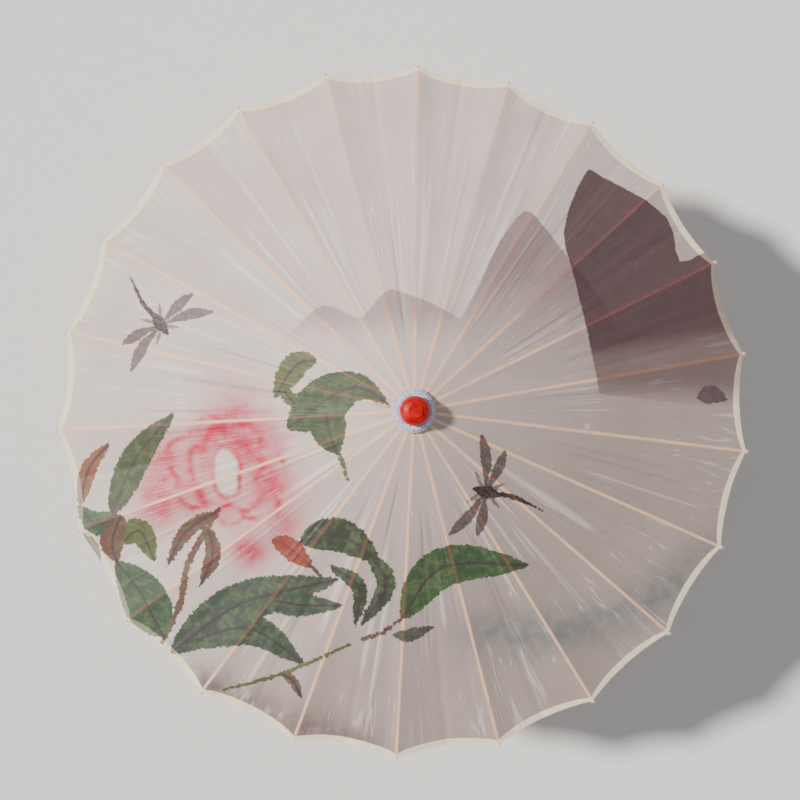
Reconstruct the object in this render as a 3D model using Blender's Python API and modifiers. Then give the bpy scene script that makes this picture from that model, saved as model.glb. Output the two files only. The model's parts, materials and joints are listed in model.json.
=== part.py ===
"""Oil paper umbrella, open: ribs and stretchers on a slotted crown and a sliding runner, under one sheet.

The pole stands along +Z and the origin is the centre of the flat lower end of the handle. A rib is modelled
lying along +X with its crown pivot at the origin, and a stretcher with its runner pivot there, so that each
object's own origin is on its hinge. All lengths are in metres.
"""

import math

import bmesh
import bpy
from mathutils import Matrix, Vector

# Sizes of the whole umbrella
RIB_COUNT = 22
CANOPY_RADIUS = 0.420  # pole axis to rib tip, open
CROWN_HEIGHT = 0.519  # handle end to the crown pivots
OPEN_SLOPE = math.radians(20)  # of a rib below horizontal
CLOSED_SLOPE = math.radians(87)
JOINT_REACH = 0.190  # crown pivot to stretcher joint, and the stretcher's own length
FIRST_RIB_TURN = math.radians(1.8)  # of the first rib from +Y
CROWDING = math.radians(3.25)  # hand-set ribs stand closer together towards +Y

# Clearances
GAP = 0.0003  # between pieces that touch or turn on each other
SLIDING_GAP = 0.0004  # between runner and pole

# Pole
POLE_RADIUS = 0.0065

# Hinge rings, the same in crown and runner
PIVOT_RADIUS = 0.016
HUB_RADIUS = 0.020
CORD_RADIUS = 0.0005
CORD_HOLE = 0.0009
EYE_RADIUS = 0.0017  # of the flat tongue around its cord hole
TONGUE_WIDTH = 0.0018
SHOULDER = 0.0085  # pivot to where a tongue widens
HUB_LIP = 0.0055  # pivots to the open end of the slots
HUB_ROOF = 0.0017  # wood left over a slot at the hub's edge
HUB_CROWN = 0.0025  # rise of the hub from its edge to its middle
NECK_WALL = 0.0045  # of crown and runner below their slots

# Ribs
RIB_WIDTH = 0.0042
RIB_HEAD_WIDTH = 0.0036
RIB_THICKNESS = 0.0030
RIB_TIP_WIDTH = 0.0034
RIB_TIP_THICKNESS = 0.0020
WIDENING = 0.060  # pivot to the full width

# Stretchers
STRETCHER_WIDTH = 0.0038
STRETCHER_FOOT_WIDTH = 0.0034
STRETCHER_HEIGHT = 0.0024
JOINT_TONGUE_WIDTH = 0.0012
PIN_RADIUS = 0.00055

# Canopy, collar and finial
SHEET = 0.0006
CANOPY_BORE = 0.0215
RIM_OVERHANG = 0.002  # rib tip beyond the rim
SCALLOP = 0.0065  # rim's inward bow between two ribs
COLLAR_RADIUS = 0.0245
COLLAR_THICKNESS = 0.0015
COLLAR_CORD_RADIUS = 0.0007
FINIAL_RADIUS = 0.0167
FINIAL_HEIGHT = 0.0216
FINIAL_TOP_RADIUS = 0.0089
POLE_TENON = 0.0083  # pole inside the finial

# Crown and runner necks
CROWN_NECK = 0.0125  # lip to the neck's end
CROWN_DOWEL_RADIUS = 0.0012
RUNNER_NECK = 0.0290
RUNNER_FOOT_WALL = 0.0060

# Handle
HANDLE_TOP = 0.085
HANDLE_WALL = 0.0045
HANDLE_TOP_WALL = 0.0020
END_CAP = 0.004
SPIGOT_STEP = 0.0015  # spigot narrower than the pole
SPIGOT = 0.005
POLE_SEAT = 0.014
HANDLE_DOWEL_RADIUS = 0.0015
HANDLE_DOWEL_HEIGHT = 0.058

# Catch
CATCH_LENGTH = 0.0305
CATCH_PROUD = 0.0038  # nose outside the pole, sprung out
CATCH_WIDTH = 0.0020
CATCH_PIN_RADIUS = 0.0008
CATCH_PIN_OFFSET = 0.0032
CATCH_PRESS = math.radians(8.5)

# Places that follow from the sizes
NECK_RADIUS = POLE_RADIUS + NECK_WALL
RUNNER_FOOT_RADIUS = POLE_RADIUS + RUNNER_FOOT_WALL
HANDLE_RADIUS = POLE_RADIUS + HANDLE_WALL
HANDLE_TOP_RADIUS = POLE_RADIUS + HANDLE_TOP_WALL
SPIGOT_RADIUS = POLE_RADIUS - SPIGOT_STEP
CATCH_REACH = POLE_RADIUS + CATCH_PROUD
RIB_LENGTH = (CANOPY_RADIUS - PIVOT_RADIUS) / math.cos(OPEN_SLOPE)
RUNNER_HEIGHT = CROWN_HEIGHT - 2 * JOINT_REACH * math.sin(OPEN_SLOPE)
CLOSED_ANGLE = 2 * (math.pi / 2 - CLOSED_SLOPE)  # between rib and stretcher, closed
TONGUE_LENGTH = (RIB_THICKNESS / 2 + STRETCHER_HEIGHT / 2 + GAP) / math.sin(CLOSED_ANGLE)
SLOT_WIDTH = TONGUE_WIDTH + 2 * GAP
SLOT_DEPTH = EYE_RADIUS + 4 * GAP  # from the pivot, away from the open end
BORE_RADIUS = POLE_RADIUS + GAP
HUB_EDGE = SLOT_DEPTH + HUB_ROOF
HUB_TOP = HUB_EDGE + HUB_CROWN
GROOVE_RADIUS = PIVOT_RADIUS - 0.0014
GROOVE_HALF = 0.0012
CORE_RADIUS = PIVOT_RADIUS - EYE_RADIUS - 4 * GAP
RUNNER_END = HUB_TOP + RUNNER_NECK
FINIAL_HEIGHT_ABOVE = CROWN_HEIGHT + HUB_TOP + 2 * GAP + COLLAR_THICKNESS
POLE_TOP = FINIAL_HEIGHT_ABOVE + POLE_TENON
CATCH_TOP = RUNNER_HEIGHT - RUNNER_END - GAP
CATCH_PIVOT = CATCH_TOP - CATCH_LENGTH

MATERIALS = {
    "split bamboo": ((0.62, 0.42, 0.23), 0.55),
    "turned wood": ((0.45, 0.27, 0.14), 0.5),
    "cotton cord": ((0.75, 0.68, 0.58), 0.9),
    "oiled silk sheet": ((0.58, 0.52, 0.50), 0.6),
    "gathered cloth": ((0.62, 0.56, 0.62), 0.85),
    "red lacquer": ((0.45, 0.02, 0.02), 0.2),
    "dark lacquer": ((0.06, 0.03, 0.02), 0.25),
}


def clear_scene():
    for old in list(bpy.data.objects):
        bpy.data.objects.remove(old)


def collection(name):
    made = bpy.data.collections.new(name)
    bpy.context.scene.collection.children.link(made)
    return made


def material(name):
    made = bpy.data.materials.get(name)
    if made:
        return made
    colour, roughness = MATERIALS[name]
    made = bpy.data.materials.new(name)
    made.use_nodes = True
    shader = made.node_tree.nodes["Principled BSDF"]
    shader.inputs["Base Color"].default_value = (*colour, 1)
    shader.inputs["Roughness"].default_value = roughness
    shader.inputs["Metallic"].default_value = 0
    return made


def add_object(name, mesh, finish, group):
    made = bpy.data.objects.new(name, mesh)
    made.data.materials.clear()
    made.data.materials.append(material(finish))
    group.objects.link(made)
    return made


def smooth(mesh, angle=30):
    mesh.shade_smooth()
    mesh.set_sharp_from_angle(angle=math.radians(angle))


def finished_mesh(name, shape, sharp=True):
    mesh = bpy.data.meshes.new(name)
    shape.to_mesh(mesh)
    shape.free()
    if sharp:
        smooth(mesh)
    return mesh


def rib_azimuth(index):
    """Angle from +X, clockwise from +Y seen from above. A half index is the middle of a panel."""
    even = 2 * math.pi * index / RIB_COUNT
    return math.pi / 2 - FIRST_RIB_TURN - even + CROWDING * math.sin(even)


def turned(name, profile, finish, group, steps=32, closed=True):
    """A profile of (radius, height) points that runs down its outer side, turned about Z."""
    shape = bmesh.new()
    points = [shape.verts.new((radius, 0, height)) for radius, height in profile]
    for first, second in zip(points, points[1:]):
        shape.edges.new((first, second))
    if closed:
        shape.edges.new((points[-1], points[0]))
    made = add_object(name, finished_mesh(name, shape, sharp=False), finish, group)
    screw = made.modifiers.new("turn", "SCREW")
    screw.steps = screw.render_steps = steps
    screw.use_merge_vertices = True
    screw.merge_threshold = 0.00001
    screw.use_smooth_shade = True
    return made


def bar(stations):
    """A straight bar along +X, extruded through stations of (distance, width, height)."""
    shape = bmesh.new()
    bmesh.ops.create_grid(shape, x_segments=1, y_segments=1, size=0.5)
    start, width, height = stations[0]
    turn = Matrix.Rotation(-math.pi / 2, 4, "Y")
    bmesh.ops.transform(shape, matrix=turn, verts=shape.verts[:])
    bmesh.ops.scale(shape, vec=(1, width, height), verts=shape.verts[:])
    bmesh.ops.translate(shape, vec=(start, 0, 0), verts=shape.verts[:])
    end = shape.faces[:]
    inner = []
    for distance, next_width, next_height in stations[1:]:
        grown = bmesh.ops.extrude_face_region(shape, geom=end, use_keep_orig=True)
        points = [part for part in grown["geom"] if isinstance(part, bmesh.types.BMVert)]
        end = [part for part in grown["geom"] if isinstance(part, bmesh.types.BMFace)]
        inner += end
        bmesh.ops.scale(shape, vec=(1, next_width / width, next_height / height), verts=points)
        bmesh.ops.translate(shape, vec=(distance - start, 0, 0), verts=points)
        start, width, height = distance, next_width, next_height
    bmesh.ops.delete(shape, geom=inner[:-1], context="FACES_ONLY")
    bmesh.ops.recalc_face_normals(shape, faces=shape.faces[:])
    return shape


def add_box(shape, low, high):
    size = Vector(high) - Vector(low)
    place = Matrix.Translation((Vector(high) + Vector(low)) / 2) @ Matrix.Diagonal((*size, 1))
    bmesh.ops.create_cube(shape, size=1, matrix=place)


def add_rod(shape, centre, radius, length, axis="Y", sides=8):
    turn = {"X": Matrix.Rotation(math.pi / 2, 4, "Y"), "Y": Matrix.Rotation(math.pi / 2, 4, "X")}[axis]
    bmesh.ops.create_cone(
        shape,
        cap_ends=True,
        segments=sides,
        radius1=radius,
        radius2=radius,
        depth=length,
        matrix=Matrix.Translation(centre) @ turn,
    )


def cutter(name, shape, group):
    made = add_object(name, finished_mesh(name, shape, sharp=False), "turned wood", group)
    made.hide_render = True
    made.display_type = "WIRE"
    return made


def combine(target, other, operation="DIFFERENCE"):
    change = target.modifiers.new(other.name, "BOOLEAN")
    change.operation = operation
    change.solver = "EXACT"
    change.object = other


def applied_mesh(target, name):
    """The target's mesh with its modifiers applied, to be shared by the copies of a repeated piece."""
    bpy.context.view_layer.update()
    evaluated = target.evaluated_get(bpy.context.evaluated_depsgraph_get())
    mesh = bpy.data.meshes.new_from_object(evaluated)
    mesh.name = name
    smooth(mesh)
    bpy.data.objects.remove(target)
    return mesh


def eye_stations(width):
    """The rounded end of a tongue, around a pivot at the origin."""
    return [
        (-EYE_RADIUS, width, EYE_RADIUS),
        (-EYE_RADIUS / 2, width, 2 * EYE_RADIUS),
        (EYE_RADIUS / 2, width, 2 * EYE_RADIUS),
    ]


def rib_mesh(group, cutters):
    stations = eye_stations(TONGUE_WIDTH) + [
        (EYE_RADIUS * 1.5, TONGUE_WIDTH, RIB_THICKNESS),
        (SHOULDER, TONGUE_WIDTH, RIB_THICKNESS),
        (SHOULDER + 0.0005, RIB_HEAD_WIDTH, RIB_THICKNESS),
        (WIDENING, RIB_WIDTH, RIB_THICKNESS),
        (JOINT_REACH + TONGUE_LENGTH + 0.010, RIB_WIDTH, RIB_THICKNESS),
        (RIB_LENGTH, RIB_TIP_WIDTH, RIB_TIP_THICKNESS),
    ]
    blank = add_object("rib_blank", finished_mesh("rib_blank", bar(stations)), "split bamboo", group)
    cuts = bmesh.new()
    add_rod(cuts, (0, 0, 0), CORD_HOLE, 2 * TONGUE_WIDTH)
    slot = bmesh.new()
    slot_half = JOINT_TONGUE_WIDTH / 2 + GAP
    slot_start = JOINT_REACH - 1.5 * RIB_THICKNESS
    slot_end = JOINT_REACH + TONGUE_LENGTH + 2 * GAP
    add_box(slot, (slot_start, -slot_half, -RIB_THICKNESS), (slot_end, slot_half, RIB_THICKNESS))
    add_rod(cuts, (JOINT_REACH, 0, 0), PIN_RADIUS + 1.2 * GAP, 2 * RIB_WIDTH)
    combine(blank, cutter("rib_slot_cut", slot, cutters))
    combine(blank, cutter("rib_hole_cut", cuts, cutters))
    return applied_mesh(blank, "rib")


def stretcher_mesh(group, cutters):
    tongue = JOINT_REACH - TONGUE_LENGTH
    stations = eye_stations(TONGUE_WIDTH) + [
        (EYE_RADIUS * 1.5, TONGUE_WIDTH, STRETCHER_HEIGHT),
        (SHOULDER, TONGUE_WIDTH, STRETCHER_HEIGHT),
        (SHOULDER + 0.0005, STRETCHER_FOOT_WIDTH, STRETCHER_HEIGHT),
        (WIDENING, STRETCHER_WIDTH, STRETCHER_HEIGHT),
        (tongue - 0.0005, STRETCHER_WIDTH, STRETCHER_HEIGHT),
        (tongue, JOINT_TONGUE_WIDTH, STRETCHER_HEIGHT),
        (JOINT_REACH + STRETCHER_HEIGHT / 4, JOINT_TONGUE_WIDTH, STRETCHER_HEIGHT),
        (JOINT_REACH + STRETCHER_HEIGHT / 2, JOINT_TONGUE_WIDTH, STRETCHER_HEIGHT / 2),
    ]
    shape = bar(stations)
    blank = add_object("stretcher_blank", finished_mesh("stretcher_blank", shape), "split bamboo", group)
    hole = bmesh.new()
    add_rod(hole, (0, 0, 0), CORD_HOLE, 2 * TONGUE_WIDTH)
    pin = bmesh.new()
    add_rod(pin, (JOINT_REACH, 0, 0), PIN_RADIUS, RIB_WIDTH - GAP, sides=6)
    combine(blank, cutter("stretcher_hole_cut", hole, cutters))
    combine(blank, cutter("stretcher_pin_shape", pin, cutters), "UNION")
    return applied_mesh(blank, "stretcher")


def make_ribs(group, cutters):
    rib = rib_mesh(group, cutters)
    stretcher = stretcher_mesh(group, cutters)
    for index in range(RIB_COUNT):
        azimuth = rib_azimuth(index)
        outward = Vector((math.cos(azimuth), math.sin(azimuth), 0))
        top = outward * PIVOT_RADIUS + Vector((0, 0, CROWN_HEIGHT))
        foot = outward * PIVOT_RADIUS + Vector((0, 0, RUNNER_HEIGHT))
        placed_rib = add_object(f"rib_{index + 1:02d}", rib, "split bamboo", group)
        placed_rib.location = top
        placed_rib.rotation_euler = (0, OPEN_SLOPE, azimuth)
        placed_stretcher = add_object(f"stretcher_{index + 1:02d}", stretcher, "split bamboo", group)
        placed_stretcher.location = foot
        placed_stretcher.rotation_euler = (0, -OPEN_SLOPE, azimuth)


def slot_cutter(name, low, high, group):
    """One box per rib between two heights, from the hub's core outwards."""
    shape = bmesh.new()
    for index in range(RIB_COUNT):
        box = bmesh.new()
        add_box(box, (CORE_RADIUS, -SLOT_WIDTH / 2, low), (1.5 * HUB_RADIUS, SLOT_WIDTH / 2, high))
        bmesh.ops.rotate(box, matrix=Matrix.Rotation(rib_azimuth(index), 3, "Z"), verts=box.verts[:])
        mesh = finished_mesh(name, box, sharp=False)
        shape.from_mesh(mesh)
        bpy.data.meshes.remove(mesh)
    return cutter(name, shape, group)


def hub_side(direction):
    """The toothed rim of a hub with its cord groove, from the domed end to the lip."""
    points = [
        (HUB_RADIUS, HUB_EDGE),
        (HUB_RADIUS, GROOVE_HALF),
        (GROOVE_RADIUS, GROOVE_HALF),
        (GROOVE_RADIUS, -GROOVE_HALF),
        (HUB_RADIUS, -GROOVE_HALF),
        (HUB_RADIUS, -HUB_LIP),
    ]
    return [(radius, direction * height) for radius, height in points]


def cord_ring(name, height, group):
    bpy.ops.mesh.primitive_torus_add(
        major_segments=44,
        minor_segments=5,
        major_radius=PIVOT_RADIUS,
        minor_radius=CORD_RADIUS,
        location=(0, 0, height),
    )
    made = bpy.context.object
    made.name = name
    made.data.materials.append(material("cotton cord"))
    smooth(made.data, 60)
    bpy.context.collection.objects.unlink(made)
    group.objects.link(made)


def dowel(name, centre, radius, length, axis, finish, group):
    shape = bmesh.new()
    add_rod(shape, (0, 0, 0), radius, length, axis, sides=12)
    made = add_object(name, finished_mesh(name, shape), finish, group)
    made.location = centre
    return made


def hole_cutter(name, centre, radius, axis, group):
    shape = bmesh.new()
    add_rod(shape, centre, radius, 6 * POLE_RADIUS, axis, sides=12)
    return cutter(name, shape, group)


def make_crown(group, cutters):
    neck_end = -HUB_LIP - CROWN_NECK
    profile = (
        [(BORE_RADIUS, HUB_TOP), (HUB_RADIUS - 2 * HUB_CROWN, HUB_TOP)]
        + hub_side(1)
        + [(NECK_RADIUS, -HUB_LIP), (NECK_RADIUS, neck_end), (BORE_RADIUS, neck_end)]
    )
    crown = turned("crown", profile, "turned wood", group)
    crown.location.z = CROWN_HEIGHT
    combine(crown, slot_cutter("crown_slots", -2 * HUB_LIP, SLOT_DEPTH, cutters))
    cutters.objects["crown_slots"].location.z = CROWN_HEIGHT
    height = CROWN_HEIGHT - HUB_LIP - CROWN_NECK / 2
    hole = hole_cutter("crown_dowel_hole", (0, 0, height), CROWN_DOWEL_RADIUS + GAP, "X", cutters)
    combine(crown, hole)
    dowel("crown_dowel", (0, 0, height), CROWN_DOWEL_RADIUS, 2 * NECK_RADIUS, "X", "split bamboo", group)
    cord_ring("crown_cord", CROWN_HEIGHT, group)
    return hole


def make_runner(group, cutters):
    bore = POLE_RADIUS + SLIDING_GAP
    waist = (NECK_RADIUS + bore) / 2 + 0.0015
    rim = list(reversed(hub_side(-1)))
    profile = (
        [(bore, HUB_LIP)]
        + rim
        + [
            (HUB_RADIUS - 2 * HUB_CROWN, -HUB_TOP),
            (NECK_RADIUS, -HUB_TOP - 0.002),
            (waist, -HUB_TOP - RUNNER_NECK * 0.45),
            (waist, -HUB_TOP - RUNNER_NECK * 0.7),
            (RUNNER_FOOT_RADIUS, -RUNNER_END + 0.004),
            (RUNNER_FOOT_RADIUS, -RUNNER_END + 0.001),
            (RUNNER_FOOT_RADIUS - 0.001, -RUNNER_END),
            (bore, -RUNNER_END),
        ]
    )
    runner = turned("runner", profile, "turned wood", group)
    runner.location.z = RUNNER_HEIGHT
    combine(runner, slot_cutter("runner_slots", -SLOT_DEPTH, 2 * HUB_LIP, cutters))
    cutters.objects["runner_slots"].location.z = RUNNER_HEIGHT
    cord_ring("runner_cord", RUNNER_HEIGHT, group)


def make_pole(crown_hole, handle_hole, group, cutters):
    profile = [(0, POLE_TOP), (POLE_RADIUS, POLE_TOP), (POLE_RADIUS, POLE_SEAT + GAP), (0, POLE_SEAT + GAP)]
    pole = turned("pole", profile, "split bamboo", group, steps=24, closed=False)
    slot = bmesh.new()
    half = CATCH_WIDTH / 2 + GAP
    depth = CATCH_LENGTH * math.sin(CATCH_PRESS) - CATCH_PIN_OFFSET
    add_box(slot, (-depth, -half, CATCH_PIVOT - 0.004), (2 * POLE_RADIUS, half, CATCH_TOP + 0.004))
    combine(pole, cutter("catch_slot", slot, cutters))
    combine(pole, crown_hole)
    combine(pole, handle_hole)
    place = (CATCH_PIN_OFFSET, 0, CATCH_PIVOT)
    combine(pole, hole_cutter("catch_pin_hole", place, CATCH_PIN_RADIUS + GAP, "Y", cutters))
    return pole


def make_catch(group, cutters):
    """A sprung strip, thin at its pin and deep at the nose that the runner stands on."""
    outline = [
        (-0.0018, -0.0022),
        (0.0024, -0.0022),
        (0.0030, 0.0060),
        (CATCH_REACH - CATCH_PIN_OFFSET, CATCH_LENGTH - 0.0030),
        (CATCH_REACH - CATCH_PIN_OFFSET, CATCH_LENGTH),
        (0.0010, CATCH_LENGTH),
        (-0.0008, 0.0080),
    ]
    shape = bmesh.new()
    points = [shape.verts.new((x, -CATCH_WIDTH / 2, z)) for x, z in outline]
    side = shape.faces.new(points)
    grown = bmesh.ops.extrude_face_region(shape, geom=[side], use_keep_orig=True)
    moved = [part for part in grown["geom"] if isinstance(part, bmesh.types.BMVert)]
    bmesh.ops.translate(shape, vec=(0, CATCH_WIDTH, 0), verts=moved)
    bmesh.ops.recalc_face_normals(shape, faces=shape.faces[:])
    catch = add_object("catch", finished_mesh("catch", shape), "split bamboo", group)
    catch.location = (CATCH_PIN_OFFSET, 0, CATCH_PIVOT)
    combine(catch, cutters.objects["catch_pin_hole"])
    half_chord = math.sqrt(POLE_RADIUS**2 - CATCH_PIN_OFFSET**2)
    dowel("catch_pin", catch.location, CATCH_PIN_RADIUS, 2 * half_chord, "Y", "split bamboo", group)


def make_handle(group, cutters):
    low = END_CAP + GAP
    waist = (HANDLE_RADIUS + HANDLE_TOP_RADIUS) / 2
    profile = [
        (BORE_RADIUS, HANDLE_TOP),
        (HANDLE_TOP_RADIUS - 0.001, HANDLE_TOP),
        (HANDLE_TOP_RADIUS, HANDLE_TOP - 0.001),
        (HANDLE_TOP_RADIUS, HANDLE_TOP - 0.008),
        (waist, HANDLE_TOP - 0.014),
        (waist + 0.0006, (HANDLE_TOP + low) / 2),
        (HANDLE_RADIUS, low + 0.016),
        (HANDLE_RADIUS, low),
        (SPIGOT_RADIUS + GAP, low),
        (SPIGOT_RADIUS + GAP, POLE_SEAT),
        (BORE_RADIUS, POLE_SEAT),
    ]
    handle = turned("handle", profile, "dark lacquer", group, steps=24)
    place = (0, 0, HANDLE_DOWEL_HEIGHT)
    hole = hole_cutter("handle_dowel_hole", place, HANDLE_DOWEL_RADIUS + GAP, "Y", cutters)
    combine(handle, hole)
    dowel("handle_dowel", place, HANDLE_DOWEL_RADIUS, 2 * waist - 0.001, "Y", "split bamboo", group)
    cap = [
        (0, END_CAP + SPIGOT),
        (SPIGOT_RADIUS, END_CAP + SPIGOT),
        (SPIGOT_RADIUS, END_CAP),
        (HANDLE_RADIUS, END_CAP),
        (HANDLE_RADIUS, 0.001),
        (HANDLE_RADIUS - 0.001, 0),
        (0, 0),
    ]
    turned("end_cap", cap, "red lacquer", group, steps=24, closed=False)
    return hole


def sheet_height(radius):
    """Underside of the canopy over a rib's middle line."""
    lift = (RIB_THICKNESS / 2 + GAP) / math.cos(OPEN_SLOPE)
    return CROWN_HEIGHT + lift - math.tan(OPEN_SLOPE) * (radius - PIVOT_RADIUS)


def make_canopy(group):
    """Flat panels from rib to rib, bowed inwards along the rim."""
    shape = bmesh.new()
    segments = 2 * RIB_COUNT
    bmesh.ops.create_cone(shape, segments=segments, radius1=2, radius2=1, depth=1)
    for point in shape.verts:
        index = -math.atan2(point.co.y, point.co.x) * RIB_COUNT / (2 * math.pi)
        inner = point.co.z > 0
        radius = CANOPY_BORE if inner else CANOPY_RADIUS - RIM_OVERHANG
        nearest = round(2 * index)
        azimuth = rib_azimuth(nearest / 2)
        height = sheet_height(radius)
        if nearest % 2:
            before = rib_azimuth((nearest - 1) / 2)
            after = rib_azimuth((nearest + 1) / 2)
            azimuth = (before + after) / 2
            radius *= math.cos((before - after) / 2)
            if not inner:
                radius -= SCALLOP
                height += SCALLOP * math.tan(OPEN_SLOPE)
        point.co = (radius * math.cos(azimuth), radius * math.sin(azimuth), height)
    bmesh.ops.recalc_face_normals(shape, faces=shape.faces[:])
    canopy = add_object("canopy", finished_mesh("canopy", shape), "oiled silk sheet", group)
    wall = canopy.modifiers.new("sheet", "SOLIDIFY")
    wall.thickness = SHEET
    wall.offset = 1


def make_collar(group):
    """Cloth tied over the crown, with a skirt that lies on the canopy."""
    skirt = sheet_height(COLLAR_RADIUS) - CROWN_HEIGHT + (SHEET + GAP) / math.cos(OPEN_SLOPE)
    neck = HUB_RADIUS + 2 * GAP
    edge = HUB_EDGE + GAP
    top = HUB_TOP + GAP
    wall = COLLAR_THICKNESS
    profile = [
        (BORE_RADIUS, top + wall),
        (HUB_RADIUS - 2 * HUB_CROWN, top + wall),
        (neck + wall * 0.8, edge + wall * 0.6),
        (neck + wall, (edge + skirt + wall) / 2),
        (COLLAR_RADIUS, skirt + wall),
        (COLLAR_RADIUS, skirt),
        (CANOPY_BORE, skirt + (COLLAR_RADIUS - CANOPY_BORE) * math.tan(OPEN_SLOPE)),
        (neck, (edge + skirt) / 2 + GAP),
        (neck, edge),
        (HUB_RADIUS - 2 * HUB_CROWN, top),
        (BORE_RADIUS, top),
    ]
    collar = turned("collar", profile, "gathered cloth", group)
    collar.location.z = CROWN_HEIGHT
    bpy.ops.mesh.primitive_torus_add(
        major_segments=32,
        minor_segments=6,
        major_radius=neck + wall + 2 * GAP + COLLAR_CORD_RADIUS,
        minor_radius=COLLAR_CORD_RADIUS,
        location=(0, 0, CROWN_HEIGHT + edge),
    )
    cord = bpy.context.object
    cord.name = "collar_cord"
    cord.data.materials.append(material("cotton cord"))
    smooth(cord.data, 60)
    bpy.context.collection.objects.unlink(cord)
    group.objects.link(cord)


def make_finial(group):
    """A turned knob: a short foot, a round belly and a flat top."""
    foot = 0.65 * FINIAL_RADIUS
    belly = FINIAL_HEIGHT * 0.40
    profile = [(0, FINIAL_HEIGHT), (FINIAL_TOP_RADIUS - 0.001, FINIAL_HEIGHT)]
    profile.append((FINIAL_TOP_RADIUS, FINIAL_HEIGHT - 0.0006))
    shoulder_turns = 5
    for step in range(1, shoulder_turns + 1):
        angle = math.pi / 2 * step / shoulder_turns
        radius = FINIAL_TOP_RADIUS + (FINIAL_RADIUS - FINIAL_TOP_RADIUS) * math.sin(angle)
        profile.append((radius, belly + (FINIAL_HEIGHT - 0.0006 - belly) * math.cos(angle)))
    foot_turns = 4
    for step in range(1, foot_turns + 1):
        angle = math.pi / 2 * step / foot_turns
        radius = foot + (FINIAL_RADIUS - foot) * math.cos(angle)
        profile.append((radius, belly - (belly - 0.0015) * math.sin(angle)))
    profile += [(foot, 0), (BORE_RADIUS, 0), (BORE_RADIUS, POLE_TENON + GAP), (0, POLE_TENON + GAP)]
    finial = turned("finial", profile, "red lacquer", group, steps=28, closed=False)
    finial.location.z = FINIAL_HEIGHT_ABOVE


def main():
    clear_scene()
    umbrella = collection("oil_paper_umbrella")
    cutters = collection("cutters")
    make_ribs(umbrella, cutters)
    crown_hole = make_crown(umbrella, cutters)
    make_runner(umbrella, cutters)
    handle_hole = make_handle(umbrella, cutters)
    make_pole(crown_hole, handle_hole, umbrella, cutters)
    make_catch(umbrella, cutters)
    make_canopy(umbrella)
    make_collar(umbrella)
    make_finial(umbrella)


main()
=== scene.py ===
"""Oil paper umbrella, open: painted silk on split bamboo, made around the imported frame.

Lengths are in metres, and in millimetres where a name or a comment says so.
"""

import json
import math
from functools import partial
from types import SimpleNamespace

import bmesh
import bpy
import numpy as np
from mathutils import Matrix, Vector


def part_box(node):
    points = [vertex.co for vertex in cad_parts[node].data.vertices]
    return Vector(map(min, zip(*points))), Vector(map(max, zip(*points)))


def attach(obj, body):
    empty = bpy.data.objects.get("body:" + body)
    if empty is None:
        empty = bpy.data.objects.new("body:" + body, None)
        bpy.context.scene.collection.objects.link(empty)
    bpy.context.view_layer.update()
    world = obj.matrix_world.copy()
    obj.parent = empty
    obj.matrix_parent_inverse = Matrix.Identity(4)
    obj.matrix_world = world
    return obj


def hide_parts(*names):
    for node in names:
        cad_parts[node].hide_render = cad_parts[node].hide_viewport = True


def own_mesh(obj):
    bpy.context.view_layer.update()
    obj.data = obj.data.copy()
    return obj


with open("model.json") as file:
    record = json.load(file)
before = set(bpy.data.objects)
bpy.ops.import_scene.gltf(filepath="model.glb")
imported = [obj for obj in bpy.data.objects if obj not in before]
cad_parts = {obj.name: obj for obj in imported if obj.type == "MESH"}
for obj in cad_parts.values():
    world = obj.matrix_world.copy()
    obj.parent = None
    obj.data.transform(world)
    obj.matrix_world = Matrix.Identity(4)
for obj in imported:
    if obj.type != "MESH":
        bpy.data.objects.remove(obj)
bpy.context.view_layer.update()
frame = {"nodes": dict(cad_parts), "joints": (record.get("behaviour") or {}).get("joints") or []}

MM = 0.001

# What the frame says of the ribs and the canopy
RIB_JOINTS = [joint for joint in frame["joints"] if joint["child"].startswith("rib_")]
RIB_JOINTS.sort(key=lambda joint: joint["child"])
RIB_COUNT = len(RIB_JOINTS)
PIVOTS = [Vector(joint["pos_m"]) for joint in RIB_JOINTS]
AZIMUTHS = [math.atan2(pivot.y, pivot.x) for pivot in PIVOTS]
PIVOT_RADIUS = PIVOTS[0].xy.length
CROWN_HEIGHT = PIVOTS[0].z
RADII = [point.co.xy.length for point in frame["nodes"]["canopy"].data.vertices]
RIM_RADIUS = max(RADII)
BORE = min(RADII)

# The ribs when the umbrella is open
OPEN_SLOPE = math.radians(20)
RIB_HALF_WIDTH = 1.7 * MM
CLOTH_LIFT = 0.0018 / math.cos(OPEN_SLOPE)  # rib's middle line to the underside of the cloth

# The cloth
CLOTH = 0.0005
SCALLOP = 0.0056  # rim's bow between two ribs
SAG = 0.0048  # at the rim, mid-panel
VALLEY_DEPTH = 0.9 * MM  # of the line where a panel folds inwards when the umbrella shuts
VALLEY_HALF_WIDTH = 5.0 * MM
FULL_FOLD = 0.7 * MM  # height of a fold that shows fully
HEM = 0.0085
HEM_RISE = 0.0004

# The cloth's mesh and maps
FAN_PANEL = 0.1  # a panel's width in the map that fans out from the crown
HALF_COLUMNS = 36
ROWS = 172
HEM_ROWS = 7

rng = np.random.default_rng(22)


def put(name, data):
    """A new object with this mesh, curve, light or camera, in the scene."""
    made = bpy.data.objects.new(name, data)
    bpy.context.scene.collection.objects.link(made)
    return made


# ---------------------------------------------------------------- materials

EASED = {"interpolation_type": "SMOOTHSTEP"}
COLOURS = {"data_type": "RGBA", "out": 2}


def linear(code):
    """An sRGB hex colour as linear RGBA."""
    parts = [int(code[start : start + 2], 16) / 255 for start in (0, 2, 4)]
    return [part / 12.92 if part < 0.04045 else ((part + 0.055) / 1.055) ** 2.4 for part in parts] + [1]


def repeats(size):
    """Whole repeats of a pattern in a metre, for its size in millimetres."""
    return round(1000 / size)


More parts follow.
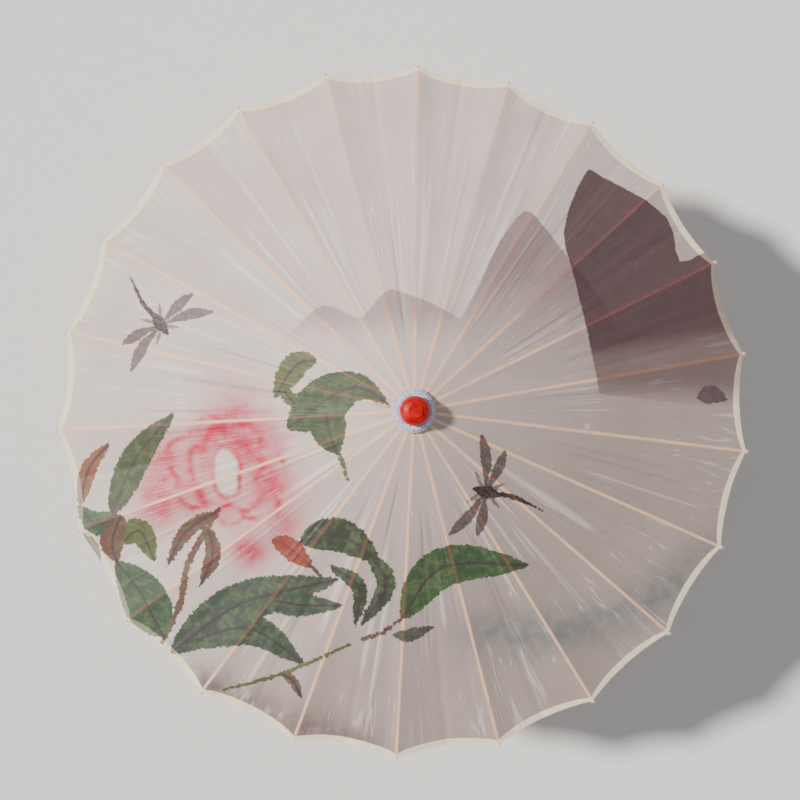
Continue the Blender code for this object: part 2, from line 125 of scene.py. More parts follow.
def feed(node, inputs):
    """Links or sets a node's inputs, by name or number."""
    for key, value in inputs.items():
        if isinstance(value, bpy.types.NodeSocket):
            node.id_data.links.new(value, node.inputs[key])
        else:
            node.inputs[key].default_value = value


def add(tree, kind, *inputs, out=0, **settings):
    """A new node's output. Its inputs come in order, or in a dict by name or number."""
    node = tree.nodes.new("ShaderNode" + kind)
    for name, value in settings.items():
        setattr(node, name, value)
    named = len(inputs) == 1 and isinstance(inputs[0], dict)
    feed(node, inputs[0] if named else dict(enumerate(inputs)))
    return node.outputs[out]


def new_material(name):
    """A material, its shader, and the function that adds a node to it."""
    made = bpy.data.materials.new(name)
    made.use_nodes = True
    return made, made.node_tree.nodes["Principled BSDF"], partial(add, made.node_tree)


def washed_ground(silk):
    """Oiled cloth in two pale tones under a mauve wash, a brownish painted shade that deepens to the lower
    right, and a grey wash.
    """
    node = silk.node
    patchy = node("MapRange", silk.cloud, 0.3, 0.7, **EASED)
    colour = node("Mix", {0: patchy, 6: linear("D4C3BC"), 7: linear("DFCEC7")}, **COLOURS)
    mauve = node("Attribute", attribute_name="mauve_wash", out="Fac")
    uneven = node("MapRange", silk.mottle, 0.25, 0.65, 0.4, 0.85, **EASED)
    mauve = node("Math", mauve, uneven, operation="MULTIPLY")
    colour = node("Mix", {0: mauve, 6: colour, 7: linear("5E434A")}, **COLOURS)
    # Painted shade: the cloth darkens towards the lower right, the side turned away from the key light
    lower_right_shade = node("Attribute", attribute_name="lower_right_shade", out="Fac")
    colour = node("Mix", {0: lower_right_shade, 6: colour, 7: linear("8C756D")}, **COLOURS)
    grey = node("Attribute", attribute_name="grey_wash", out="Fac")
    uneven = node("MapRange", silk.mottle, 0.25, 0.7, 0.35, 1.0, **EASED)
    grey = node("Math", grey, uneven, operation="MULTIPLY")
    return node("Mix", {0: grey, 6: colour, 7: linear("707A76")}, **COLOURS)


def painted_fold_light(silk, colour):
    """Painted highlight on the crests of the folds and painted shade in their troughs, and sharp creases that
    run out from the crown, with a painted highlight along each.
    """
    node = silk.node
    fold = node("Attribute", attribute_name="fold", out="Fac")
    # Painted highlight on the fold crests and painted shade in the fold troughs, from the fold's height
    crest = node("MapRange", fold, 0.1, 0.9, 0.0, 0.34, **EASED)
    colour = node("Mix", {0: crest, 6: colour, 7: linear("FFF8F2")}, **COLOURS)
    trough_shade = node("MapRange", fold, -0.1, -0.9, 0.0, 0.34, **EASED)
    colour = node("Mix", {0: trough_shade, 6: colour, 7: linear("85766F")}, **COLOURS)

    # Creases 10 mm apart at the rim and 200 mm long
    spread = node("Mapping", {"Vector": silk.fan, "Scale": (repeats(10.5), repeats(200), 1)})
    crinkle = node("TexNoise", {"Vector": spread, "Scale": 1, "Detail": 1})
    off_line = node("Math", node("Math", crinkle, 0.5, operation="SUBTRACT"), operation="ABSOLUTE")
    crease = node("MapRange", off_line, 0.02, 0.0, **EASED)
    crease = node("Math", crease, node("MapRange", silk.cloud, 0.42, 0.6, **EASED), operation="MULTIPLY")
    # Painted highlight along each crease
    paler = node("Math", crease, 0.3, operation="MULTIPLY")
    return node("Mix", {0: paler, 6: colour, 7: linear("FFF6F0")}, **COLOURS), crease


def painted_hills(silk, colour):
    """Two depths of hills in mottled plum, and how much they cover the cloth."""
    node = silk.node
    cover = 0.0
    for layer, soft, code, paler in (
        ("far_hills", 1.2, "6E4F55", "876A6E"),
        ("near_rock", 0.9, "442B30", "573A3F"),
    ):
        inside = node("Attribute", attribute_name=layer, out="Fac")
        depth = node("Attribute", attribute_name=layer + "_depth", out="Fac")
        edge = node("Math", node("Math", silk.ragged, 3.0, operation="MULTIPLY"), inside, operation="ADD")
        mask = node("Math", node("MapRange", edge, -soft, soft, **EASED), depth, operation="MULTIPLY")
        shade = node("Mix", {0: silk.mottle, 6: linear(code), 7: linear(paler)}, **COLOURS)
        colour = node("Mix", {0: mask, 6: colour, 7: shade}, **COLOURS)
        cover = node("Math", mask, cover, operation="MAXIMUM")
    return colour, cover


def painted_flower(silk, colour):
    """A pink blush pulled outwards by the brush, and the wandering red outlines of three rings of petals."""
    node = silk.node
    spread = node("Mapping", {"Vector": silk.fan, "Scale": (repeats(1.111), repeats(38.5), 1)})
    streaks = node("TexNoise", {"Vector": spread, "Scale": 1, "Detail": 3, "Roughness": 0.6})
    blush = node("Attribute", attribute_name="petal_wash", out="Fac")
    streaks = node("MapRange", streaks, 0.3, 0.7, 0.6, 1.3, **EASED)
    blush = node("Math", blush, streaks, operation="MULTIPLY")
    uneven = node("MapRange", silk.mottle, 0.3, 0.65, 0.8, 1.1, **EASED)
    blush = node("Math", blush, uneven, operation="MULTIPLY")
    colour = node("Mix", {0: blush, 6: colour, 7: linear("D01A50")}, **COLOURS)

    wobble = node("TexNoise", {"Vector": silk.place, "Scale": repeats(24)})
    wobble = node("Math", wobble, 0.5, operation="SUBTRACT")
    pressure = node("TexNoise", {"Vector": silk.place, "Scale": repeats(26)})
    wander = node("Math", wobble, 16.0, operation="MULTIPLY")
    wander = node("Math", wander, node("Math", silk.ragged, 4.0, operation="MULTIPLY"), operation="ADD")
    for outline, wide, least in (
        ("petal_heart", 4.2, 0.6),
        ("petal_cup", 6.5, 0.15),
        ("petal_skirt", 4.5, 0.0),
    ):
        away = node("Attribute", attribute_name=outline, out="Fac")
        away = node("Math", node("Math", away, wander, operation="ADD"), operation="ABSOLUTE")
        stroke = node("MapRange", away, wide * 1.6, 0.0, 0.0, 0.9, **EASED)
        pressed = node("MapRange", pressure, 0.36, 0.6, least, 1.0, **EASED)
        stroke = node("Math", stroke, pressed, operation="MULTIPLY")
        colour = node("Mix", {0: stroke, 6: colour, 7: linear("C9163A")}, **COLOURS)
    return colour


def painted_leaves(silk, colour, cover):
    """Leaves and stems with a paler bloom, a dark rim, a dark middle vein and slanting side veins."""
    node = silk.node
    inside = node("Attribute", attribute_name="leaf", out="Fac")
    edge = node("Math", inside, node("Math", silk.ragged, 8.0, operation="MULTIPLY"), operation="ADD")
    body = node("Attribute", attribute_name="leaf_tint", out="Color")
    bloom = node("TexNoise", {"Vector": silk.place, "Scale": repeats(11.8), "Detail": 3, "Roughness": 0.6})
    bloom = node("MapRange", bloom, 0.42, 0.68, 0.0, 0.34, **EASED)
    body = node("Mix", {0: bloom, 6: body, 7: linear("6E8450")}, **COLOURS)
    rim = node("MapRange", edge, 3.5, 0.0, 0.0, 0.55, **EASED)
    rim = node("Math", rim, silk.brushed, operation="MULTIPLY")
    body = node("Mix", {0: rim, 6: body, 7: linear("36452E")}, **COLOURS)

    across = node("Attribute", attribute_name="leaf_across", out="Fac")
    across = node("Math", across, operation="ABSOLUTE")
    along = node("Attribute", attribute_name="leaf_along", out="Fac")
    lean = node("Math", along, node("Math", across, 1.1, operation="MULTIPLY"), operation="ADD")
    lean = node("Math", lean, node("Math", silk.ragged, 5.0, operation="MULTIPLY"), operation="ADD")
    tooth = node("Math", lean, 9.0, operation="PINGPONG")
    tooth = node("Math", node("Math", tooth, 4.5, operation="SUBTRACT"), operation="ABSOLUTE")
    side_vein = node("MapRange", tooth, 3.2, 4.5, 0.0, 0.45, **EASED)
    side_vein = node("Math", side_vein, node("MapRange", inside, 2.0, 6.0, **EASED), operation="MULTIPLY")
    middle = node("Math", across, node("Math", silk.ragged, 2.4, operation="MULTIPLY"), operation="ADD")
    middle = node("MapRange", middle, 2.4, 0.9, 0.0, 0.85, **EASED)
    midrib = node("Attribute", attribute_name="leaf_midrib", out="Fac")
    middle = node("Math", middle, midrib, operation="MULTIPLY")
    vein = node("Math", side_vein, middle, operation="MAXIMUM")
    body = node("Mix", {0: vein, 6: body, 7: linear("35222E")}, **COLOURS)

    mask = node("Math", node("MapRange", edge, -0.7, 0.7, **EASED), 0.94, operation="MULTIPLY")
    colour = node("Mix", {0: mask, 6: colour, 7: body}, **COLOURS)
    return colour, node("Math", mask, cover, operation="MAXIMUM")


def painted_insects(silk, colour, cover):
    """Dragonflies in dark ink, thinner where the bristles parted."""
    node = silk.node
    edge = node("Attribute", attribute_name="insect", out="Fac")
    edge = node("Math", edge, node("Math", silk.ragged, 4.5, operation="MULTIPLY"), operation="ADD")
    depth = node("Attribute", attribute_name="insect_depth", out="Fac")
    mask = node("Math", node("MapRange", edge, -0.6, 0.9, **EASED), depth, operation="MULTIPLY")
    parted = node("MapRange", silk.brushed, 0.25, 0.6, 0.8, 1.0, **EASED)
    mask = node("Math", mask, parted, operation="MULTIPLY")
    colour = node("Mix", {0: mask, 6: colour, 7: linear("301A1D")}, **COLOURS)
    return colour, node("Math", mask, cover, operation="MAXIMUM")


def ribs_through_cloth(silk, colour, cover):
    """Bamboo seen through the cloth: soft 4 mm lines, warm and bright on bare cloth, dull under paint."""
    node = silk.node
    off_rib = node("Attribute", attribute_name="rib_across", out="Fac")
    off_rib = node("Math", off_rib, operation="ABSOLUTE")
    shown = node("Attribute", attribute_name="rib_show", out="Fac")
    glue = node("TexNoise", {"Vector": silk.place, "Scale": repeats(33), "Detail": 3})
    glue = node("Math", shown, node("MapRange", glue, 0.25, 0.6, 0.75, 1.0, **EASED), operation="MULTIPLY")
    line = node("Math", node("MapRange", off_rib, 2.5, 0.9, **EASED), glue, operation="MULTIPLY")
    line = node("Math", line, node("MapRange", cover, 0.2, 1.0, 1.0, 0.3, **EASED), operation="MULTIPLY")
    under_paint = node("MapRange", cover, 0.1, 0.8, **EASED)
    warm = node("Mix", {0: under_paint, 6: linear("FFCDA6"), 7: linear("A8604A")}, **COLOURS)
    return node("Mix", {0: line, 6: colour, 7: warm}, **COLOURS)


def turned_hem(silk, colour, cover):
    """Creamy doubled cloth round the rim, stained where the painting runs over it."""
    node = silk.node
    hem = node("Attribute", attribute_name="hem", out="Fac")
    hem = node("Math", hem, node("Math", silk.ragged, 1.2, operation="MULTIPLY"), operation="ADD")
    hem = node("MapRange", hem, -0.5, 0.6, **EASED)
    clean = node("MapRange", cover, 0.0, 1.0, 1.0, 0.25, **EASED)
    hem = node("Math", hem, clean, operation="MULTIPLY")
    cream = node("Mix", {0: silk.brushed, 6: linear("FFF4DA"), 7: linear("FFE8C0")}, **COLOURS)
    return node("Mix", {0: hem, 6: colour, 7: cream}, **COLOURS)


def silk_relief(silk, crease):
    """The weave's slubs, the oil's unevenness and the creases, as a bump.

    Threads are 0.3 mm apart on real silk. They are drawn as slubs of 2 to 3 mm, the finest that shows.
    """
    node = silk.node
    weave = node("UVMap", uv_map="cloth")
    relief = None
    for scale in ((repeats(33), repeats(2.38), 1), (repeats(2.174), repeats(56), 1)):
        threads = node("Mapping", {"Vector": weave, "Scale": scale})
        threads = node("TexNoise", {"Vector": threads, "Scale": 1, "Detail": 2, "Roughness": 0.6})
        threads = node("Math", threads, 0.16, operation="MULTIPLY")
        relief = node("Math", relief, threads, operation="ADD") if relief is not None else threads
    for part, height in ((silk.mottle, 0.25), (crease, 0.45)):
        relief = node("Math", relief, node("Math", part, height, operation="MULTIPLY"), operation="ADD")
    return node("Bump", {"Strength": 0.7, "Distance": 0.0012, "Height": relief})


def painted_silk():
    """Thin plain-weave silk, oiled and painted by hand.

    Woven silk scatters softly with a faint gloss along its threads. Colour soaks in, so washes have
    soft edges and strokes ragged ones, and the bamboo glued under it shows through as a warm line.
    """
    made, shader, node = new_material("painted_oiled_silk")
    place = node("TexCoord", out="Object")
    edges = node("TexNoise", {"Vector": place, "Scale": repeats(4.35)})
    silk = SimpleNamespace(
        node=node,
        place=place,
        fan=node("UVMap", uv_map="fan"),
        cloud=node("TexNoise", {"Vector": place, "Scale": repeats(71), "Detail": 3}),
        mottle=node("TexNoise", {"Vector": place, "Scale": repeats(16.7), "Detail": 4, "Roughness": 0.6}),
        brushed=node("TexNoise", {"Vector": place, "Scale": repeats(2.38), "Roughness": 0.7}),
        ragged=node("Math", edges, 0.5, operation="SUBTRACT"),
    )
    colour, crease = painted_fold_light(silk, washed_ground(silk))
    colour, cover = painted_hills(silk, colour)
    colour = painted_flower(silk, colour)
    colour, cover = painted_leaves(silk, colour, cover)
    colour, cover = painted_insects(silk, colour, cover)
    colour = ribs_through_cloth(silk, colour, cover)
    looks = {
        "Base Color": turned_hem(silk, colour, cover),
        "Normal": silk_relief(silk, crease),
        "Roughness": node("MapRange", silk.mottle, 0.2, 0.8, 0.5, 0.66, **EASED),
        "Specular IOR Level": 0.35,
        "Sheen Weight": 0.15,
    }
    feed(shader, looks)
    return made


def split_bamboo():
    """Bamboo split and planed, unvarnished: straw-coloured, with dark threads under 0.5 mm wide."""
    made, shader, node = new_material("split_bamboo")
    grain = node("UVMap", uv_map="grain")
    lengthwise = node("Mapping", {"Vector": grain, "Scale": (repeats(45.5), repeats(0.4348), 1)})
    fibres = node("TexNoise", {"Vector": lengthwise, "Scale": 1, "Detail": 3, "Roughness": 0.6})
    broad = node("Mapping", {"Vector": grain, "Scale": (repeats(111), repeats(2), 1)})
    broad = node("TexNoise", {"Vector": broad, "Scale": 1})
    broad = node("MapRange", broad, 0.3, 0.7, **EASED)
    colour = node("Mix", {0: broad, 6: linear("D9B27C"), 7: linear("C89C63")}, **COLOURS)
    dark = node("MapRange", fibres, 0.55, 0.8, 0.0, 0.55, **EASED)
    looks = {
        "Base Color": node("Mix", {0: dark, 6: colour, 7: linear("8E6435")}, **COLOURS),
        "Normal": node("Bump", {"Strength": 0.5, "Distance": 0.0002, "Height": fibres}),
        "Roughness": 0.5,
    }
    feed(shader, looks)
    return made


def bamboo_cane():
    """A whole bamboo cane, scraped: smooth golden skin with fine lengthwise fibres and darker patches."""
    made, shader, node = new_material("bamboo_cane")
    place = node("TexCoord", out="Object")
    lengthwise = node("Mapping", {"Vector": place, "Scale": (repeats(0.625), repeats(0.625), repeats(71))})
    fibres = node("TexNoise", {"Vector": lengthwise, "Scale": 1, "Detail": 3, "Roughness": 0.6})
    patches = node("Mapping", {"Vector": place, "Scale": (repeats(11.1), repeats(11.1), repeats(83))})
    patches = node("TexNoise", {"Vector": patches, "Scale": 1, "Detail": 3})
    patches = node("MapRange", patches, 0.3, 0.7, **EASED)
    colour = node("Mix", {0: patches, 6: linear("C99A5B"), 7: linear("B58247")}, **COLOURS)
    dark = node("MapRange", fibres, 0.5, 0.8, 0.0, 0.5, **EASED)
    looks = {
        "Base Color": node("Mix", {0: dark, 6: colour, 7: linear("7E5528")}, **COLOURS),
        "Normal": node("Bump", {"Strength": 0.35, "Distance": 0.0002, "Height": fibres}),
        "Roughness": node("MapRange", fibres, 0.2, 0.8, 0.3, 0.45, **EASED),
    }
    feed(shader, looks)
    return made


def turned_birch():
    """Birch turned on a lathe and oiled: close grain 2 to 3 mm broad, with fine dark pores along it."""
    made, shader, node = new_material("turned_birch")
    place = node("TexCoord", out="Object")
    grain = node("Mapping", {"Vector": place, "Scale": (repeats(2.38), repeats(2.38), repeats(18.2))})
    grain = node("TexNoise", {"Vector": grain, "Scale": 1, "Detail": 4, "Roughness": 0.6})
    grain = node("MapRange", grain, 0.3, 0.7, **EASED)
    pores = node("Mapping", {"Vector": place, "Scale": (repeats(0.3846), repeats(0.3846), repeats(3.85))})
    pores = node("TexNoise", {"Vector": pores, "Scale": 1})
    colour = node("Mix", {0: grain, 6: linear("B98A56"), 7: linear("9A6B3C")}, **COLOURS)
    dark = node("MapRange", pores, 0.58, 0.75, 0.0, 0.5, **EASED)
    looks = {
        "Base Color": node("Mix", {0: dark, 6: colour, 7: linear("6E4825")}, **COLOURS),
        "Normal": node("Bump", {"Strength": 0.3, "Distance": 0.0002, "Height": pores}),
        "Roughness": 0.48,
    }
    feed(shader, looks)
    return made


def lacquer(name, deep, bright, roughness):
    """Brushed lacquer on wood: deep colour under a thin satin coat, with 2 mm brush unevenness."""
    made, shader, node = new_material(name)
    place = node("TexCoord", out="Object")
    cloud = node("TexNoise", {"Vector": place, "Scale": repeats(7.7), "Detail": 3})
    fine = node("Mapping", {"Vector": place, "Scale": (repeats(2), repeats(2), repeats(1.111))})
    fine = node("TexNoise", {"Vector": fine, "Scale": 1})
    uneven = node("MapRange", cloud, 0.3, 0.7, **EASED)
    looks = {
        "Base Color": node("Mix", {0: uneven, 6: linear(deep), 7: linear(bright)}, **COLOURS),
        "Normal": node("Bump", {"Strength": 0.12, "Distance": 0.0003, "Height": fine}),
        "Roughness": node("MapRange", cloud, 0.2, 0.8, roughness, roughness + 0.1, **EASED),
        "Specular IOR Level": 0.25,
        "Coat Weight": 0.14,
        "Coat Roughness": 0.3,
    }
    feed(shader, looks)
    return made


def cotton(name, pale, dark, thread):
    """Cotton yarn or gauze: matt and hairy, with painted shade in the hollows of its twist or its crinkle,
    where the dark flecks follow the bump, and in broad soft patches.
    """
    made, shader, node = new_material(name)
    place = node("TexCoord", out="Object")
    flecks = node("TexNoise", {"Vector": place, "Scale": 1 / thread, "Detail": 3, "Roughness": 0.65})
    broad = node("TexNoise", {"Vector": place, "Scale": 0.2 / thread})
    # Painted shade: the dark flecks sit where the bump is low, and broad patches darken as if shaded
    pale_flecks = node("MapRange", flecks, 0.32, 0.66, **EASED)
    colour = node("Mix", {0: pale_flecks, 6: linear(dark), 7: linear(pale)}, **COLOURS)
    shaded = node("MapRange", broad, 0.4, 0.75, 0.0, 0.35, **EASED)
    looks = {
        "Base Color": node("Mix", {0: shaded, 6: colour, 7: linear(dark)}, **COLOURS),
        "Normal": node("Bump", {"Strength": 0.8, "Distance": thread / 3, "Height": flecks}),
        "Roughness": 0.9,
        "Sheen Weight": 0.3,
    }
    feed(shader, looks)
    return made


SILK = painted_silk()
BAMBOO = split_bamboo()
CANE = bamboo_cane()
BIRCH = turned_birch()
RED = lacquer("red_lacquer", "A00000", "C80400", 0.34)
DARK = lacquer("dark_brown_lacquer", "2A1610", "3D2116", 0.2)
CORD = cotton("cotton_cord", "F0EAE0", "C4B8A6", 0.6 * MM)
GAUZE = cotton("crinkled_cotton_gauze", "F4EEFF", "988CC4", 1.6 * MM)
THREAD = cotton("pink_white_thread", "FFF2EA", "E6C4B2", 0.6 * MM)


# ---------------------------------------------------------------- the painting, in plan millimetres

OUTSIDE = -30.0  # inside measure of a point far from any stroke
MARGIN = 35  # past a stroke's own width, where its edge still counts
SHARP = 20  # the farthest inside measure that the hills keep

painting = []


def smooth_line(points, steps=7):
    """A smooth curve through points."""
    points = np.array(points, float)
    padded = np.vstack([2 * points[0] - points[1], points, 2 * points[-1] - points[-2]])
    made = []
    for before, start, end, after in zip(padded, padded[1:], padded[2:], padded[3:]):
        for part in np.arange(steps) / steps:
            bend = 2 * before - 5 * start + 4 * end - after
            twist = 3 * (start - end) + after - before
            made.append(0.5 * (2 * start + (end - before) * part + bend * part**2 + twist * part**3))
    return np.array(made + [points[-1]])


def measure(plan, line):
    """Distance from a line, signed distance across it, and distance along it, for each plan point."""
    best = np.full(len(plan), 1e9)
    across = np.zeros(len(plan))
    along = np.zeros(len(plan))
    gone = 0.0
    for start, end in zip(line, line[1:]):
        step = end - start
        length = math.hypot(*step)
        away = plan - start
        share = np.clip(away @ step / length**2, 0, 1)
        miss = away - share[:, None] * step
        distance = np.hypot(miss[:, 0], miss[:, 1])
        side = np.sign(step[0] * away[:, 1] - step[1] * away[:, 0])
        nearer = distance < best
        best = np.where(nearer, distance, best)
        across = np.where(nearer, side * distance, across)
        along = np.where(nearer, gone + share * length, along)
        gone += length
    return best, across, along, gone


def leaf(points, half_width, code, midrib=1.0, belly=0.42):
    """A leaf along a line, widest at the belly's share of its length."""
    painting.append(("leaf", smooth_line(points), half_width, linear(code), midrib, belly))


def stem(points, half_width, code):
    painting.append(("leaf", smooth_line(points), half_width, linear(code), 0.0, 0.0))


def dragonfly(place, heading, size, depth):
    """A thin body with its tail, four long wings and four legs."""
    place = np.array(place, float)

    def reach(angle, length):
        turned_by = math.radians(heading + angle)
        return place + size * length * np.array([math.cos(turned_by), math.sin(turned_by)])

    def stroke(points, half_width, share, belly):
        painting.append(("insect", smooth_line(points), half_width * size, depth * share, belly))

    stroke([reach(180, 13), reach(180, 3), reach(0, 16)], 7.6, 1.0, 0.5)
    stroke([reach(0, 8), reach(3, 34), reach(-4, 70)], 3.0, 1.0, 0.2)
    for angle, length in ((78, 48), (-82, 48), (108, 60), (-112, 60)):
        wing = [reach(angle, 5), reach(angle * 0.97, length * 0.55), reach(angle * 1.02, length)]
        stroke(wing, 6.4, 0.84, 0.6)
    for angle in (40, -36, 148, -152):
        stroke([reach(angle, 4), reach(angle * 0.9, 24)], 2.2, 0.7, 0.5)


GREEN, OLIVE, DEEP, TEAL = "2B461A", "4A5A20", "1E3320", "264B31"
GREY_GREEN, BROWN, RUST, BRIGHT = "2C4234", "60362A", "8A4A26", "284C22"
CRIMSON, PLUM, SLATE, MAUVE = "96261F", "45303A", "3D3C3F", "5D4650"

# The spray by the crown
leaf([(-22, 4), (-70, 26), (-142, -20)], 27, GREEN, 1.0, 0.64)
leaf([(-98, 10), (-95, -20), (-84, -50)], 21, GREEN)
leaf([(-108, 58), (-132, 52), (-157, 14)], 15, OLIVE)
leaf([(-148, 26), (-138, 14), (-126, 2)], 8, OLIVE)
stem([(-84, -46), (-78, -62), (-73, -78)], 2.4, OLIVE)

# Beside the flower, out to the rim
leaf([(-352, -124), (-322, -56), (-274, -1)], 18, GREEN)
leaf([(-392, -112), (-380, -68), (-352, -36)], 10, RUST)
leaf([(-344, -122), (-370, -134), (-396, -112)], 14, TEAL)
leaf([(-340, -122), (-352, -156), (-346, -182)], 17, BROWN)
leaf([(-340, -156), (-318, -142), (-300, -178)], 15, OLIVE)
leaf([(-368, -180), (-378, -160), (-388, -144)], 7, OLIVE)
leaf([(-292, -270), (-320, -214), (-350, -178)], 29, TEAL)
leaf([(-222, -116), (-262, -142), (-286, -184)], 9, BROWN)
leaf([(-236, -134), (-230, -168), (-246, -206)], 10, BROWN)
stem([(-222, -114), (-258, -176), (-270, -226), (-294, -278)], 4.2, BROWN)

# The bud and the leaves under it
leaf([(-160, -148), (-140, -158), (-112, -182)], 13, CRIMSON, 0.6)
stem([(-126, -168), (-114, -180), (-104, -190)], 2.2, PLUM)
leaf([(-128, -150), (-82, -142), (-34, -174)], 20, DEEP)
leaf([(-50, -160), (-28, -202), (-58, -252)], 11, DEEP)
leaf([(-94, -178), (-60, -204), (-64, -254)], 9, DEEP)

# The low branch and its leaves
leaf([(-284, -290), (-196, -226), (-82, -194)], 26, GREY_GREEN)
leaf([(-184, -216), (-128, -226), (-78, -226)], 15, GREY_GREEN)
leaf([(-266, -278), (-190, -256), (-122, -300)], 21, GREY_GREEN)
stem([(-220, -334), (-150, -312), (-70, -274)], 2.4, OLIVE)
leaf([(-150, -312), (-136, -322), (-126, -342)], 6, BROWN)
leaf([(-10, -242), (38, -180), (140, -180)], 24, BRIGHT)
stem([(-56, -268), (-30, -258), (-10, -242)], 2.4, BROWN)
leaf([(-20, -262), (2, -262), (30, -252)], 8, SLATE, 0.0)

# A small dark islet off the rock, and the insects
leaf([(350, 16), (371, 20), (392, 13)], 11, MAUVE, 0.0)
dragonfly((84, -92), -15, 1.06, 1.0)
dragonfly((-292, 102), 127, 1.06, 0.95)

FLOWER = np.array([-213.0, -70.0])

# Each blush is its middle, its reach and its depth of colour
BLUSHES = [
    ((-284, -58), 30, 0.85),
    ((-294, -108), 32, 0.95),
    ((-200, -10), 34, 0.85),
    ((-168, -36), 28, 0.75),
    ((-160, -88), 30, 0.85),
    ((-186, -162), 22, 0.98),
    ((-146, -130), 24, 0.7),
    ((-236, -30), 26, 0.75),
    ((-214, -112), 24, 0.6),
    ((-250, -96), 24, 0.7),
    ((-188, -58), 22, 0.7),
    ((-238, -62), 20, 0.6),
    ((-206, -34), 20, 0.7),
]
NEAR_ROCK = [(222, 20), (212, 74), (196, 150), (184, 214), (214, 286), (236, 284)]
NEAR_ROCK += [(318, 236), (332, 182), (380, 194), (440, 130), (440, 10)]
PEAK = [(20, 40), (74, 136), (104, 196), (136, 236), (156, 222), (192, 176), (240, 110), (240, 40)]
HILLS = [(-170, 40), (-146, 80), (-108, 118), (-86, 117), (-58, 106), (-30, 137)]
HILLS += [(-6, 134), (36, 116), (60, 96), (80, 40)]
GREY_WASH = smooth_line([(90, -262), (200, -262), (290, -232), (385, -176)])
MAUVE_WASH = smooth_line([(-246, -330), (-196, -356), (-130, -380), (-60, -404)])
WASH_REACH = 30


def inside_outline(plan, outline):
    """Millimetres inside a closed outline, negative outside."""
    line = smooth_line(outline + outline[:1], 3)
    distance = measure(plan, line)[0]
    odd = np.zeros(len(plan), bool)
    for (x, y), (next_x, next_y) in zip(line, line[1:]):
        spans = (y > plan[:, 1]) != (next_y > plan[:, 1])
        rise = next_y - y if next_y != y else 1e-9
        odd ^= spans & (plan[:, 0] < x + (next_x - x) * (plan[:, 1] - y) / rise)
    return np.where(odd, distance, -distance)


def eased(value, low, high):
    share = np.clip((value - low) / (high - low), 0, 1)
    return share * share * (3 - 2 * share)


def peaked(share, belly):
    """A bulge from 0 at both ends to 1 at the belly's share."""
    return np.sin(np.pi * share ** (math.log(0.5) / math.log(belly)))


def closed_ring(plan, radii, lobes, depth, turn):
    """Signed millimetres from a lobed oval ring around the flower."""
    away = plan - FLOWER
    angle = np.arctan2(away[:, 1], away[:, 0])
    ring = 1 / np.hypot(np.cos(angle - turn) / radii[0], np.sin(angle - turn) / radii[1])
    ring *= 1 + depth * np.abs(np.sin(lobes * angle / 2 + turn))
    return np.hypot(away[:, 0], away[:, 1]) - ring


def paint_strokes(plan):
    """Leaves, stems and insects: how far inside a stroke, and that stroke's own measures."""
    count = len(plan)
    values = {"leaf": np.full(count, OUTSIDE), "insect": np.full(count, OUTSIDE)}
    for name in ("leaf_across", "leaf_along", "leaf_midrib", "insect_depth"):
        values[name] = np.zeros(count)
    tints = np.tile(np.array(linear(GREEN)), (count, 1))
    for kind, line, half_width, *rest in painting:
        low, high = line.min(0) - half_width - MARGIN, line.max(0) + half_width + MARGIN
        if ((plan.max(0) < low) | (plan.min(0) > high)).any():
            continue
        distance, across, along, length = measure(plan, line)
        share = along / length
        if kind == "leaf":
            code, midrib, belly = rest
            if belly:
                width = half_width * peaked(share, belly) ** 0.8
            else:
                width = half_width * (0.7 + 0.3 * np.sin(np.pi * share))
            measures = {"leaf": width - distance, "leaf_midrib": midrib}
            measures |= {"leaf_across": across, "leaf_along": along}
            nearer = measures["leaf"] > values["leaf"]
            tints = np.where(nearer[:, None], np.array(code), tints)
        else:
            depth, belly = rest
            width = half_width * (0.25 + 0.75 * peaked(np.clip(share, 0.02, 0.98), belly))
            measures = {"insect": width - distance, "insect_depth": depth}
            nearer = measures["insect"] > values["insect"]
        for name, value in measures.items():
            values[name] = np.where(nearer, value, values[name])
    values["leaf_tint"] = tints
    return values


def paint_flower(plan):
    """The blush, pale at the flower's heart, and three rings of petals."""
    blush = np.zeros(len(plan))
    for place, reach, depth in BLUSHES:
        away = plan - np.array(place, float)
        blush = 1 - (1 - blush) * (1 - depth * np.exp(-((np.hypot(away[:, 0], away[:, 1]) / reach) ** 2)))
    heart = closed_ring(plan, (16, 30), 2, 0.04, 0.1)
    return {
        "petal_wash": blush * (0.12 + 0.88 * eased(heart, -9, 6)),
        "petal_heart": heart,
        "petal_cup": closed_ring(plan, (34, 42), 5, 0.24, 0.5),
        "petal_skirt": closed_ring(plan, (50, 62), 7, 0.2, 1.1),
    }


def paint_hills(plan):
    """The near rock and the far hills, each fading downwards."""
    shore = 52 + 0.16 * (plan[:, 0] - 220)
    foot = 0.72 + 0.28 * eased(plan[:, 1], shore, shore + 30)
    peak, hills = inside_outline(plan, PEAK), inside_outline(plan, HILLS)
    peak_depth = 0.66 * eased(plan[:, 1], 30, 185) + 0.06
    return {
        "near_rock": np.clip(inside_outline(plan, NEAR_ROCK), -SHARP, SHARP),
        "near_rock_depth": 0.93 * foot * eased(plan[:, 1], -4, 40),
        "far_hills": np.clip(np.maximum(peak, hills), -SHARP, SHARP),
        "far_hills_depth": np.where(peak > hills, peak_depth, 0.52 * eased(plan[:, 1], 66, 122)),
    }


def paint_washes_and_shade(plan):
    """Painted shade that deepens to the lower right, and two thin washes in bands along the rim."""
    return {
        # Painted shade towards the lower right
        "lower_right_shade": 0.62 * eased(0.75 * plan[:, 0] - 0.66 * plan[:, 1], -150, 230),
        "grey_wash": 0.85 * np.exp(-((measure(plan, GREY_WASH)[0] / WASH_REACH) ** 2)),
        "mauve_wash": np.exp(-((measure(plan, MAUVE_WASH)[0] / WASH_REACH) ** 2)),
    }


# ---------------------------------------------------------------- the canopy


